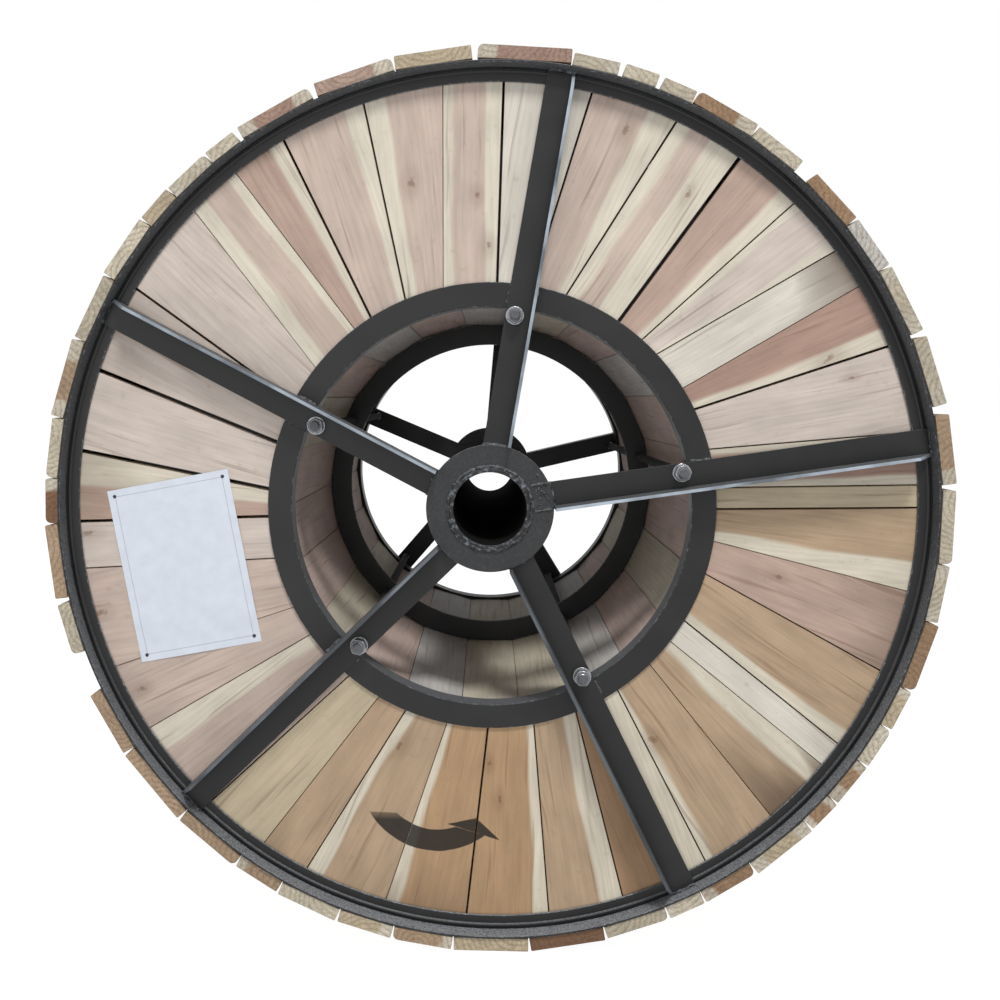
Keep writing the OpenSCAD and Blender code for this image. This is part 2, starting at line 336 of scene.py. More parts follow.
class DrumSettings(bpy.types.PropertyGroup):
    """All settings of the drum"""
    steel: bpy.props.PointerProperty(type=SteelSettings)
    wood: bpy.props.PointerProperty(type=WoodSettings)
    cable: bpy.props.PointerProperty(type=CableSettings)
    stage: bpy.props.PointerProperty(type=StageSettings)


# Shared shapes


def islands(bm):
    """Vertices of each separate solid, in the order in which the mesh holds them."""
    left = set(bm.verts)
    groups = []
    for first in bm.verts:
        if first not in left:
            continue
        left.discard(first)
        group = [first]
        for vert in group:
            for edge in vert.link_edges:
                other = edge.other_vert(vert)
                if other in left:
                    left.discard(other)
                    group.append(other)
        groups.append(group)
    return groups


def edges_of(verts):
    """Edges that meet some vertices, each once and in a steady order."""
    return list(dict.fromkeys(edge for vert in verts for edge in vert.link_edges))


def edges_along(verts, direction):
    """Edges of some vertices that run along a direction."""
    return [
        edge for edge in edges_of(verts)
        if abs((edge.verts[0].co - edge.verts[1].co).normalized().dot(direction)) > FACING
    ]


def middle_of(verts):
    """Mean place of some vertices."""
    return sum((v.co for v in verts), Vector()) / len(verts)


def angle_of(place):
    """Angle round the drum's axis, anticlockwise from +X as the front flange is seen."""
    return math.atan2(place.z, place.x)


def from_axis(place):
    """Distance from the drum's axis."""
    return math.hypot(place.x, place.z)


def spans_of(group):
    """Distance of each vertex of a solid from the line along the axis through its middle."""
    middle = middle_of(group)
    return {v: math.hypot(v.co.x - middle.x, v.co.z - middle.z) for v in group}


def out_from_axis(angle):
    """Direction straight out from the drum's axis."""
    return Vector((math.cos(angle), 0, math.sin(angle)))


def boards_in_order(bm):
    """The solids of a mesh of boards, anticlockwise from the first board's edge."""
    return sorted(islands(bm), key=lambda g: (angle_of(middle_of(g)) - FIRST_BOARD) % FULL_TURN)


def paired(bm, looks):
    """Each board of a mesh with its look, in order round the drum."""
    groups = boards_in_order(bm)
    if len(groups) != len(looks):
        raise RuntimeError(f"{len(groups)} boards, but {len(looks)} looks")
    return zip(groups, looks)


def copy_of(node):
    """A mesh of a CAD node's own shape, with its triangles merged into flat faces."""
    bm = bmesh.new()
    bm.from_mesh(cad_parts[node].data)
    bmesh.ops.remove_doubles(bm, verts=bm.verts, dist=MERGE)
    bmesh.ops.dissolve_limit(bm, angle_limit=math.radians(0.5), verts=bm.verts, edges=bm.edges)
    return bm


def round_off(bm, geom, width, segments, affect="EDGES"):
    """Bevels some edges or corners and gives the new faces."""
    return bmesh.ops.bevel(
        bm, geom=geom, offset=width, offset_type="OFFSET", affect=affect, segments=segments,
        profile=0.5, material=-1, clamp_overlap=True)["faces"]


def soften(bm, width, segments=2):
    """Rounds every sharp edge and marks the new faces as worn."""
    worn = bm.faces.layers.float.new("worn")
    bm.normal_update()
    sharp = [e for e in bm.edges if e.is_manifold and e.is_convex and e.calc_face_angle() > SHARP]
    for face in round_off(bm, sharp, width, segments):
        face[worn] = 1.0


def mark_faces(bm, name, share_of):
    """Gives every face a share, from a function of the face, that its material reads by name."""
    layer = bm.faces.layers.float.new(name)
    bm.normal_update()
    for face in bm.faces:
        face[layer] = float(share_of(face))


def outwardness(face):
    """How straight a face looks away from the drum's axis: 1 outward, -1 at the axis."""
    return face.normal.dot(out_from_axis(angle_of(face.calc_center_median())))


def faces_axis(face):
    """Whether a face looks towards the drum's axis."""
    return outwardness(face) < -FACING


def dust_on_lip(face):
    """Share of dust on a face of a rim: only where it looks at the axis, and most at the bottom."""
    return 0.4 + 0.55 * max(0.0, face.normal.z) if faces_axis(face) else 0.0


def wear_flat(bm, share):
    """Marks the faces that are square to the axis as scuffed."""
    worn = bm.faces.layers.float["worn"]
    bm.normal_update()
    for face in bm.faces:
        if abs(face.normal.y) > FACING:
            face[worn] = share


def turned(bm, profile, steps, closed=True):
    """Turns a profile of radius and distance along the axis once round the drum's axis."""
    points = [bm.verts.new((radius, along, 0)) for radius, along in profile]
    pairs = list(zip(points, points[1:]))
    if closed:
        pairs.append((points[-1], points[0]))
    edges = [bm.edges.new(pair) for pair in pairs]
    bmesh.ops.spin(
        bm, geom=points + edges, cent=(0, 0, 0), axis=AXIS, angle=FULL_TURN, steps=steps, use_merge=True)
    bmesh.ops.remove_doubles(bm, verts=bm.verts, dist=MERGE)
    bmesh.ops.recalc_face_normals(bm, faces=bm.faces)
    return bm


def on_side(side, profile):
    """A profile of radius and distance out, set on the front or the rear flange."""
    return [(radius, OUTWARD[side] * out) for radius, out in profile]


def keep(bm, name, material, slot, *nodes):
    """Makes the mesh a piece of the drum that stands for CAD nodes."""
    mesh = bpy.data.meshes.new(name)
    bm.to_mesh(mesh)
    bm.free()
    mesh.materials.append(material)
    mesh.shade_smooth()
    mesh.set_sharp_from_angle(angle=SMOOTH)
    piece = bpy.data.objects.new(name, mesh)
    bpy.context.scene.collection.objects.link(piece)
    flat = piece.modifiers.new("Flat faces", "WEIGHTED_NORMAL")
    flat.keep_sharp = True
    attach(piece, "root")
    if nodes:
        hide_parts(*nodes)
    return piece


# Boards and their grain

VECTORS = ("grain", "first_sap", "last_sap", "first_knot", "last_knot", "pith", "mark")
NO_KNOT = (0.0, 0.0, 0.0001)


class Board:
    """One board of a mesh, with the directions that its grain follows."""

    def __init__(self, verts, along, through):
        self.verts = verts
        self.middle = middle_of(verts)
        self.along = along.normalized()
        self.through = through.normalized()
        self.across = self.through.cross(self.along)
        places = [self.place(v) for v in verts]
        self.length, self.width, self.thick = (max(row) - min(row) for row in zip(*places))

    def place(self, vert):
        """Distances of a vertex along, across and through the board."""
        offset = vert.co - self.middle
        return Vector((offset.dot(self.along), offset.dot(self.across), offset.dot(self.through)))

    def line_at(self, share):
        """Where a line at a share of the width lies, at the board's middle, and how it leans along it."""
        places = [self.place(v) for v in self.verts]
        ends = []
        for end in (-1, 1):
            rows = [p.y for p in places if p.x * end > 0.3 * self.length]
            ends.append(min(rows) + share * (max(rows) - min(rows)))
        return (ends[0] + ends[1]) / 2, (ends[1] - ends[0]) / self.length


def grain_layers(bm):
    """The attributes that carry each board's grain to its material."""
    bm.normal_update()
    layers = {name: bm.verts.layers.float_vector.new(name) for name in ("heart", *VECTORS)}
    layers["end"] = bm.faces.layers.float.new("end")
    return layers


def mark_board(layers, board, look, rng):
    """Writes one board's tone, sapwood, knots and rings into the mesh."""
    values = {"heart": TONES[look.tone][:3]}
    for name, share, side in (("first_sap", look.first, 1), ("last_sap", look.last, -1)):
        start, lean = board.line_at(share if side == 1 else 1 - share)
        values[name] = (start, lean, 1.0 if share else 0.0)
    knots = [
        (board.length * (0.5 - share), board.width * rng.uniform(-0.28, 0.28), rng.uniform(0.004, 0.0075))
        for share in look.knots
    ]
    values["first_knot"], values["last_knot"] = (knots + [NO_KNOT, NO_KNOT])[:2]
    values["pith"] = (
        rng.uniform(-0.6, 0.6) * board.width,
        rng.choice((-1, 1)) * rng.uniform(0.6, 2.6) * board.thick,
        rng.uniform(-0.05, 0.05),
    )
    values["mark"] = (rng.uniform(0, 40), board.length / 2, look.stain)
    for vert in board.verts:
        vert[layers["grain"]] = board.place(vert)
        for name, value in values.items():
            vert[layers[name]] = value
    for face in dict.fromkeys(face for vert in board.verts for face in vert.link_faces):
        face[layers["end"]] = 1.0 if abs(face.normal.dot(board.along)) > FACING else 0.0


# Shared material parts

# Settings of a node that mixes two colours
COLOURS = {"out": 2, "data_type": "RGBA"}


def per_mm(size):
    """Texture scale at which one feature is so many millimetres wide."""
    return 1000 / size


def add(tree, kind, inputs=(), out=0, **settings):
    """Adds a node, sets or links its inputs, given in order or by name, and gives one of its outputs."""
    made = tree.nodes.new("ShaderNode" + kind)
    for name, value in settings.items():
        setattr(made, name, value)
    for key, value in inputs.items() if isinstance(inputs, dict) else enumerate(inputs):
        if isinstance(value, bpy.types.NodeSocket):
            tree.links.new(value, made.inputs[key])
        else:
            made.inputs[key].default_value = value
    return made.outputs[out] if made.outputs else None


def material_of(make, settings):
    """The material with the surface and the name of a function, made on first use."""
    material = bpy.data.materials.get(make.__name__)
    if material is None:
        material = bpy.data.materials.new(make.__name__)
        material.use_nodes = True
        tree = material.node_tree
        tree.nodes.clear()
        add(tree, "OutputMaterial", {"Surface": make(tree, settings)})
    return material


def seen_directly(tree):
    """One for rays that show a surface to the eye, zero for those that only carry light."""
    path = add(tree, "LightPath").node.outputs
    seen = add(tree, "Math", (path["Is Camera Ray"], path["Is Glossy Ray"]), operation="MAXIMUM")
    return add(tree, "Math", (seen, path["Is Transmission Ray"]), operation="MAXIMUM")


# Finishes


def satin_black_paint(tree, steel):
    """Brushed alkyd paint on hot-rolled steel.

    It is dark, softly glossy and a little uneven, with dust on upward faces and edges rubbed to the metal.
    """
    names = ("weather", "worn", "bare", "film_and_shade")
    weather, worn, bare, film_and_shade = (add(tree, "Attribute", out="Fac", attribute_name=name) for name in names)
    place = add(tree, "TexCoord", out="Object")
    grit = add(tree, "TexNoise", {"Vector": place, "Scale": per_mm(7), "Detail": 5.0, "Roughness": 0.65})
    patch = add(tree, "TexNoise", {"Vector": place, "Scale": per_mm(90), "Detail": 4.0})
    normal = add(tree, "NewGeometry", out="True Normal")
    up = add(tree, "SeparateXYZ", (normal,), out="Z")
    upward = add(tree, "MapRange", (up, 0.1, 0.6, 0.0, 0.35))
    settled = add(tree, "Math", (upward, weather), operation="MAXIMUM")
    fine = add(tree, "TexNoise", {"Vector": place, "Scale": per_mm(2.5), "Detail": 3.0})
    speck = add(tree, "MapRange", (fine, 0.36, 0.62, 0.3, 1.0))
    dusty = add(tree, "Math", (settled, speck), operation="MULTIPLY")
    # Pale chips on worn faces: bare steel at rounded edges, and partly painted glints on the welds
    chip_and_glint = add(tree, "MapRange", (grit, 0.52, 0.72, 0.0, 0.55))
    edges = add(tree, "Math", (worn, chip_and_glint), operation="MULTIPLY")
    streak = add(tree, "MapRange", (patch, 0.35, 0.62, 0.3, 0.95))
    strips = add(tree, "Math", (bare, streak), operation="MULTIPLY")
    rubbed = add(tree, "Math", (edges, strips), operation="MAXIMUM")
    thin = add(tree, "MapRange", (patch, 0.35, 0.75, 0.0, 0.6))
    painted = add(tree, "Mix", {0: thin, 6: steel.paint, 7: steel.thin_paint}, **COLOURS)
    dusted = add(tree, "Mix", {0: dusty, 6: painted, 7: steel.dust}, **COLOURS)
    colour = add(tree, "Mix", {0: rubbed, 6: dusted, 7: steel.bare}, **COLOURS)
    # Marked faces turn dark and dull: painted shade in the arbor's bore
    greased_and_shaded = add(tree, "Mix", {0: film_and_shade, 6: colour, 7: steel.grease_and_shade}, **COLOURS)
    gloss = add(tree, "MapRange", (patch, 0.3, 0.7, 0.36, 0.5))
    dulled = add(tree, "Math", (dusty, 0.45, gloss), operation="MULTIPLY_ADD")
    rough = add(tree, "Math", (dulled, film_and_shade), operation="MAXIMUM")
    shine = add(tree, "MapRange", (film_and_shade, 0.0, 1.0, 0.35, 0.02))
    bump = add(tree, "Bump", {"Strength": 0.2, "Distance": 0.0005, "Height": grit}, out="Normal")
    return add(tree, "BsdfPrincipled", {
        "Base Color": greased_and_shaded, "Metallic": strips, "Roughness": rough, "Specular IOR Level": shine,
        "Normal": bump})


def bright_zinc_plate(tree, steel):
    """Electroplated zinc on turned steel.

    It is a bright, slightly cloudy metal, darker and duller where marked: painted shade on the rods inside
    the barrel, a dark film on nuts and washers.
    """
    place = add(tree, "TexCoord", out="Object")
    cloud = add(tree, "TexNoise", {"Vector": place, "Scale": per_mm(5), "Detail": 4.0})
    fine = add(tree, "TexNoise", {"Vector": place, "Scale": per_mm(1.2), "Detail": 2.0})
    dull = add(tree, "MapRange", (cloud, 0.35, 0.7, 0.0, 0.45))
    bright = add(tree, "Mix", {0: dull, 6: steel.zinc, 7: steel.dust}, **COLOURS)
    film_and_shade = add(tree, "Attribute", out="Fac", attribute_name="film_and_shade")
    # Marked faces turn dark: painted shade on the rods inside the barrel, a dark film on the flats of nuts
    # and washers
    colour = add(tree, "Mix", {0: film_and_shade, 6: bright, 7: steel.grease_and_shade}, **COLOURS)
    gloss = add(tree, "MapRange", (cloud, 0.3, 0.7, 0.22, 0.42))
    rough = add(tree, "Math", (gloss, film_and_shade), operation="MAXIMUM")
    metal = add(tree, "Math", (1.0, film_and_shade), operation="SUBTRACT")
    shine = add(tree, "MapRange", (film_and_shade, 0.0, 1.0, 0.5, 0.02))
    bump = add(tree, "Bump", {"Strength": 0.15, "Distance": 0.0003, "Height": fine}, out="Normal")
    return add(tree, "BsdfPrincipled", {
        "Base Color": colour, "Metallic": metal, "Roughness": rough, "Specular IOR Level": shine,
        "Normal": bump})


def rolled_steel_strap(tree, cable):
    """Cold-rolled strapping with a waxed blue-grey skin.

    It is a dull metal with fine marks along the strap, paler where it has been rubbed.
    """
    place = add(tree, "TexCoord", out="Object")
    patch = add(tree, "TexNoise", {"Vector": place, "Scale": per_mm(30), "Detail": 4.0})
    lines = add(tree, "TexNoise", {
        "Vector": add(tree, "VectorMath", (place, (8, per_mm(1.5), 8)), operation="MULTIPLY"),
        "Scale": 1.0, "Detail": 2.0})
    pale = add(tree, "MapRange", (patch, 0.45, 0.75, 0.75, 1.5))
    colour = add(tree, "Mix", {0: 1.0, 6: cable.strap, 7: pale}, **COLOURS, blend_type="MULTIPLY")
    rough = add(tree, "MapRange", (patch, 0.3, 0.7, 0.32, 0.5))
    bump = add(tree, "Bump", {"Strength": 0.2, "Distance": 0.0002, "Height": lines}, out="Normal")
    return add(tree, "BsdfPrincipled", {
        "Base Color": colour, "Metallic": 1.0, "Roughness": rough, "Normal": bump})


def black_polyethylene(tree, cable):
    """Extruded polyethylene jacket.

    It is black and waxy, with a soft gloss that dust dulls in patches.
    """
    place = add(tree, "TexCoord", out="Object")
    patch = add(tree, "TexNoise", {"Vector": place, "Scale": per_mm(60), "Detail": 4.0})
    fine = add(tree, "TexNoise", {"Vector": place, "Scale": per_mm(3), "Detail": 3.0})
    dusty = add(tree, "MapRange", (patch, 0.4, 0.8, 0.0, 0.12))
    colour = add(tree, "Mix", {0: dusty, 6: cable.jacket, 7: cable.jacket_dust}, **COLOURS)
    rough = add(tree, "MapRange", (patch, 0.3, 0.7, 0.36, 0.58))
    bump = add(tree, "Bump", {"Strength": 0.1, "Distance": 0.0003, "Height": fine}, out="Normal")
    return add(tree, "BsdfPrincipled", {
        "Base Color": colour, "Roughness": rough, "IOR": 1.51, "Normal": bump})


def plain_paper(tree, cable):
    """Uncoated office paper.

    It is a matt bluish white with a faint fibre cloud and one thin border line inside its edge.
    """
    page = add(tree, "Attribute", out="Vector", attribute_name="page")
    cloud = add(tree, "TexNoise", {"Vector": page, "Scale": per_mm(25), "Detail": 5.0})
    fibre = add(tree, "TexNoise", {"Vector": page, "Scale": per_mm(1.5), "Detail": 3.0})
    size = add(tree, "VectorMath", (page,), operation="ABSOLUTE")
    corner = (cable.sheet_width / 2 - cable.border_inset, cable.sheet_length / 2 - cable.border_inset, 0)
    inset = add(tree, "VectorMath", (size, corner), operation="SUBTRACT")
    right, top = add(tree, "SeparateXYZ", (inset,)).node.outputs[:2]
    edge = add(tree, "Math", (right, top), operation="MAXIMUM")
    gap = add(tree, "Math", (edge,), operation="ABSOLUTE")
    line = add(tree, "MapRange", (gap, 0.0003, 0.0009, 0.8, 0.0))
    shade = add(tree, "MapRange", (cloud, 0.3, 0.7, 0.94, 1.02))
    sheet = add(tree, "Mix", {0: 1.0, 6: cable.paper, 7: shade}, **COLOURS, blend_type="MULTIPLY")
    colour = add(tree, "Mix", {0: line, 6: sheet, 7: cable.border}, **COLOURS)
    bump = add(tree, "Bump", {"Strength": 0.1, "Distance": 0.0003, "Height": fibre}, out="Normal")
    return add(tree, "BsdfPrincipled", {"Base Color": colour, "Roughness": 0.8, "Normal": bump})


def black_lacquer(tree, cable):
    """Stoved lacquer on pressed tack heads.

    It is a small glossy black dome with dull scuffs.
    """
    place = add(tree, "TexCoord", out="Object")
    scuff = add(tree, "TexNoise", {"Vector": place, "Scale": per_mm(2), "Detail": 3.0})
    rough = add(tree, "MapRange", (scuff, 0.35, 0.7, 0.25, 0.5))
    pale = add(tree, "MapRange", (scuff, 0.5, 0.8, 1.0, 2.2))
    colour = add(tree, "Mix", {0: 1.0, 6: cable.tack_black, 7: pale}, **COLOURS, blend_type="MULTIPLY")
    return add(tree, "BsdfPrincipled", {"Base Color": colour, "Roughness": rough})


def along_grain(tree, grain, spread, length, width, **inputs):
    """Noise drawn out along the grain, with features of a length and a width in millimetres."""
    scale = (per_mm(length), per_mm(width), per_mm(width))
    place = add(tree, "VectorMath", (grain, scale, spread), operation="MULTIPLY_ADD")
    return add(tree, "TexNoise", {"Vector": place, "Scale": 1.0, **inputs})


def sawn_wood(tree, wood):
    """Band-sawn softwood, each board with its own heartwood, sapwood, knots, rings and stains.

    Rings run through the whole board, so that the lines on its face meet the arcs on its ends.
    """
    vectors = {name: add(tree, "Attribute", out="Vector", attribute_name=name) for name in VECTORS}
    parts = {name: add(tree, "SeparateXYZ", (vector,)).node.outputs[:3] for name, vector in vectors.items()}
    grain = vectors["grain"]
    along, across, through = parts["grain"]
    pith_across, pith_through, pith_lean = parts["pith"]
    seed, half_length, stained = parts["mark"]
    heart = add(tree, "Attribute", out="Color", attribute_name="heart")
    on_end = add(tree, "Attribute", out="Fac", attribute_name="end")
    worn = add(tree, "Attribute", out="Fac", attribute_name="worn")
    spread = add(tree, "CombineXYZ", {"X": seed, "Y": seed, "Z": seed})

    # Long slow waves of the grain, some 300 mm long and 60 mm wide
    slow = along_grain(tree, grain, spread, 300, 60, Detail=2.0)
    wander = add(tree, "MapRange", (slow, 0.0, 1.0, -0.016, 0.016))
    bent = add(tree, "Math", (across, wander), operation="ADD")

    # Growth rings, 9 mm apart, leaning along the board
    ring_across = add(tree, "Math", (bent, pith_across), operation="SUBTRACT")
    leaned = add(tree, "Math", (along, pith_lean, through), operation="MULTIPLY_ADD")
    ring_through = add(tree, "Math", (leaned, pith_through), operation="SUBTRACT")
    ring_place = add(tree, "CombineXYZ", {"X": ring_across, "Y": ring_through})
    ring_radius = add(tree, "VectorMath", (ring_place,), out="Value", operation="LENGTH")
    ring_turn = add(tree, "Math", (ring_radius, FULL_TURN * per_mm(9), seed), operation="MULTIPLY_ADD")
    ring_wave = add(tree, "Math", (ring_turn,), operation="SINE")
    late = add(tree, "MapRange", (ring_wave, -0.2, 1.0, 0.0, 1.0), interpolation_type="SMOOTHSTEP")

    # Fibre streaks, some 120 mm long and 4 mm wide, drawn this coarse so that they show, and wider clouds
    fibre = along_grain(tree, grain, spread, 120, 4, Detail=4.0, Roughness=0.6)
    cloud = along_grain(tree, grain, spread, 90, 35, Detail=3.0)

    # Sapwood bands along the first and the last edge
    bands = []
    for name, soft in (("first_sap", 0.004), ("last_sap", -0.004)):
        start, lean, there = parts[name]
        line = add(tree, "Math", (along, lean, start), operation="MULTIPLY_ADD")
        past = add(tree, "Math", (bent, line), operation="SUBTRACT")
        band = add(tree, "MapRange", (past, soft, -soft, 0.0, 1.0), interpolation_type="SMOOTHSTEP")
        bands.append(add(tree, "Math", (band, there), operation="MULTIPLY"))
    widest = add(tree, "Math", bands, operation="MAXIMUM")
    sap = add(tree, "Math", (widest, 0.85), operation="MULTIPLY")

    tone = add(tree, "Mix", {0: sap, 6: heart, 7: wood.sapwood}, **COLOURS)
    ring_depth = add(tree, "MapRange", (on_end, 0.0, 1.0, 0.05, 0.26))
    ring_part = add(tree, "Math", (late, ring_depth), operation="MULTIPLY")
    ringed = add(tree, "Mix", {0: ring_part, 6: tone, 7: wood.knot}, **COLOURS)
    streak = add(tree, "MapRange", (fibre, 0.3, 0.7, 0.92, 1.06))
    streaked = add(tree, "Mix", {0: 1.0, 6: ringed, 7: streak}, **COLOURS, blend_type="MULTIPLY")
    shade = add(tree, "MapRange", (cloud, 0.3, 0.7, 0.88, 1.08))
    colour = add(tree, "Mix", {0: 1.0, 6: streaked, 7: shade}, **COLOURS, blend_type="MULTIPLY")

    # Dark lines of late wood here and there, some 220 mm long and 3 mm wide
    bent_grain = add(tree, "CombineXYZ", {"X": along, "Y": bent, "Z": through})
    lines = along_grain(tree, bent_grain, spread, 220, 7, Detail=2.0)
    lined = add(tree, "MapRange", (lines, 0.62, 0.72, 0.0, 0.34))
    colour = add(tree, "Mix", {0: lined, 6: colour, 7: wood.knot}, **COLOURS)

    # Knots, drawn out along the grain, dark in the middle and with a soft halo
    tatter = add(tree, "TexNoise", {"Vector": grain, "Scale": per_mm(9), "Detail": 2.0})
    ragged = add(tree, "MapRange", (tatter, 0.3, 0.7, -0.4, 0.4))
    for name in ("first_knot", "last_knot"):
        knot_along, knot_across, knot_size = parts[name]
        from_along = add(tree, "Math", (along, knot_along), operation="SUBTRACT")
        drawn_out = add(tree, "Math", (from_along, 0.55), operation="MULTIPLY")
        from_across = add(tree, "Math", (bent, knot_across), operation="SUBTRACT")
        knot_place = add(tree, "CombineXYZ", {"X": drawn_out, "Y": from_across})
        knot_far = add(tree, "VectorMath", (knot_place,), out="Value", operation="LENGTH")
        knot_share = add(tree, "Math", (knot_far, knot_size), operation="DIVIDE")
        warped = add(tree, "Math", (ragged, knot_share), operation="ADD")
        core = add(tree, "MapRange", (warped, 1.15, 0.2, 0.0, 0.6), interpolation_type="SMOOTHSTEP")
        halo = add(tree, "MapRange", (knot_share, 3.2, 0.9, 0.0, 0.2), interpolation_type="SMOOTHSTEP")
        knotty = add(tree, "Math", (core, halo), operation="MAXIMUM")
        colour = add(tree, "Mix", {0: knotty, 6: colour, 7: wood.knot}, **COLOURS)

    # Stain that creeps in from the rim end along the fibres
    from_rim = add(tree, "Math", (half_length, along), operation="SUBTRACT")
    reach = add(tree, "MapRange", (slow, 0.3, 0.7, 0.02, 0.2))
    creep = add(tree, "Math", (from_rim, reach), operation="DIVIDE")
    soaked = add(tree, "MapRange", (creep, 1.0, 0.2, 0.0, 1.0))
    stain_part = add(tree, "Math", (soaked, stained), operation="MULTIPLY")
    colour = add(tree, "Mix", {0: stain_part, 6: colour, 7: wood.grime}, **COLOURS)

    # Grime in specks and on edges, and darker wood on the ends
    place = add(tree, "TexCoord", out="Object")
    speck = add(tree, "TexNoise", {"Vector": place, "Scale": per_mm(16), "Detail": 5.0})
    dirty = add(tree, "MapRange", (speck, 0.62, 0.8, 0.0, 0.22))
    edged = add(tree, "Math", (worn, 0.22, dirty), operation="MULTIPLY_ADD")
    ended = add(tree, "Math", (on_end, 0.06, edged), operation="MULTIPLY_ADD")
    colour = add(tree, "Mix", {0: ended, 6: colour, 7: wood.grime}, **COLOURS)
    torn = add(tree, "TexNoise", {"Vector": place, "Scale": per_mm(4), "Detail": 4.0, "Roughness": 0.7})
    fuzz = add(tree, "MapRange", (torn, 0.32, 0.68, 0.7, 1.2))
    colour = add(tree, "Mix", {0: on_end, 6: colour, 7: fuzz}, **COLOURS, blend_type="MULTIPLY")

    # Stencilled arrow, on the faces that are marked for it
    arrow = rolling_arrow(tree, place, cloud)
    colour = add(tree, "Mix", {0: arrow, 6: colour, 7: wood.arrow}, **COLOURS)

    height = add(tree, "Math", (late, 0.4, fibre), operation="MULTIPLY_ADD")
    bump = add(tree, "Bump", {"Strength": 0.3, "Distance": 0.0006, "Height": height}, out="Normal")
    return add(tree, "BsdfPrincipled", {
        "Base Color": colour, "Roughness": 0.72, "Specular IOR Level": 0.3, "Normal": bump})


def rolling_arrow(tree, place, cloud):
    """Mask of the curved arrow that shows which way to roll the drum."""
    middle = sum(ARROW_HEAD, Vector()) / 3
    sides = []
    for start, end in zip(ARROW_HEAD, ARROW_HEAD[1:] + ARROW_HEAD[:1]):
        normal = (end - start).cross(AXIS).normalized()
        if normal.dot(middle - start) < 0:
            normal = -normal
        from_start = add(tree, "VectorMath", (place, start), operation="SUBTRACT")
        sides.append(add(tree, "VectorMath", (from_start, normal), out="Value", operation="DOT_PRODUCT"))
    head = sides[0]
    for other in sides[1:]:
        head = add(tree, "Math", (head, other), operation="MINIMUM")
    from_middle = add(tree, "VectorMath", (place, ARROW_MIDDLE), operation="SUBTRACT")
    flat = add(tree, "VectorMath", (from_middle, (1, 0, 1)), operation="MULTIPLY")
    radius = add(tree, "VectorMath", (flat,), out="Value", operation="LENGTH")
    within = add(tree, "Math", (ARROW_BAND[1], radius), operation="SUBTRACT")
    beyond = add(tree, "Math", (radius, ARROW_BAND[0]), operation="SUBTRACT")
    height = add(tree, "SeparateXYZ", (place,), out="Z")
    below_tail = add(tree, "Math", (ARROW_TAIL, height), operation="SUBTRACT")
    behind_head = add(tree, "Math", (sides[2], -1.0), operation="MULTIPLY")
    band = within
    for other in (beyond, below_tail, behind_head):
        band = add(tree, "Math", (band, other), operation="MINIMUM")
    shape = add(tree, "Math", (head, band), operation="MAXIMUM")
    uneven = add(tree, "MapRange", (cloud, 0.3, 0.7, -0.0008, 0.0008))
    ragged = add(tree, "Math", (shape, uneven), operation="ADD")
    painted = add(tree, "MapRange", (ragged, -ARROW_EDGE, ARROW_EDGE, 0.0, 0.94))
    fading = add(tree, "MapRange", (below_tail, -0.002, 0.012, 0.55, 1.0))
    faded = add(tree, "Math", (painted, fading), operation="MULTIPLY")
    there = add(tree, "Attribute", out="Fac", attribute_name="arrow")
    return add(tree, "Math", (faded, there), operation="MULTIPLY")


# Operators, one for each piece or group of like pieces


class DRUM_OT_rims(bpy.types.Operator):
    """Rolls both rims, with their channel, lip and bead"""
    bl_idname = "drum.rims"
    bl_label = "Rims"

    def execute(self, context):
        steel = context.scene.cable_drum.steel
        paint = material_of(satin_black_paint, steel)
        lip_in = RIM_R - steel.wall
        leg_in = RIM_R - steel.rim_leg
        back = FLANGE_IN + steel.wall
        face = LEG_OUT - steel.wall
        crown = lip_in - steel.bead_inset
        spread = math.acos(1 - steel.bead_height / steel.bead_radius)
        bead_middle = LEG_OUT + steel.bead_height - steel.bead_radius
        turns = [spread * (1 - i / 4) for i in range(9)]
        bead = [
            (crown + steel.bead_radius * math.sin(t), bead_middle + steel.bead_radius * math.cos(t))
            for t in turns
        ]
        section = [
            (leg_in, FLANGE_IN), (RIM_R, FLANGE_IN), (RIM_R, LIP_OUT), (lip_in, LIP_OUT), (lip_in, LEG_OUT),
            *bead, (leg_in, LEG_OUT), (leg_in, face), (lip_in, face), (lip_in, back), (leg_in, back),
        ]
        for side in SIDES:
            bm = turned(bmesh.new(), on_side(side, section), RIM_STEPS)
            soften(bm, steel.edge)
            mark_faces(bm, "weather", dust_on_lip)
            keep(bm, f"rim_{side}", paint, "painted_steel", f"{side}_rim")
        return {"FINISHED"}


class DRUM_OT_inner_rings(bpy.types.Operator):
    """Rolls the channel rings round the open middle"""
    bl_idname = "drum.inner_rings"
    bl_label = "Inner rings"

    def execute(self, context):
        steel = context.scene.cable_drum.steel
        paint = material_of(satin_black_paint, steel)
        bore = RING_OUT_R - steel.ring_leg
        web = bore + steel.wall
        back = FLANGE_IN + steel.wall
        face = LEG_OUT - steel.wall
        section = [
            (bore, FLANGE_IN), (RING_OUT_R, FLANGE_IN), (RING_OUT_R, back), (web, back),
            (web, face), (RING_OUT_R, face), (RING_OUT_R, LEG_OUT), (bore, LEG_OUT),
        ]
        for side in SIDES:
            bm = turned(bmesh.new(), on_side(side, section), RING_STEPS)
            soften(bm, steel.edge)
            keep(bm, f"inner_ring_{side}", paint, "painted_steel", f"{side}_inner_ring")
        return {"FINISHED"}


def rubs(face, side):
    """Whether a face is at the edge of a spoke's standing leg, which rubs against other drums."""
    height = OUTWARD[side] * face.calc_center_median().y
    return height > SPOKE_OUT + 0.004 and OUTWARD[side] * face.normal.y > 0.15


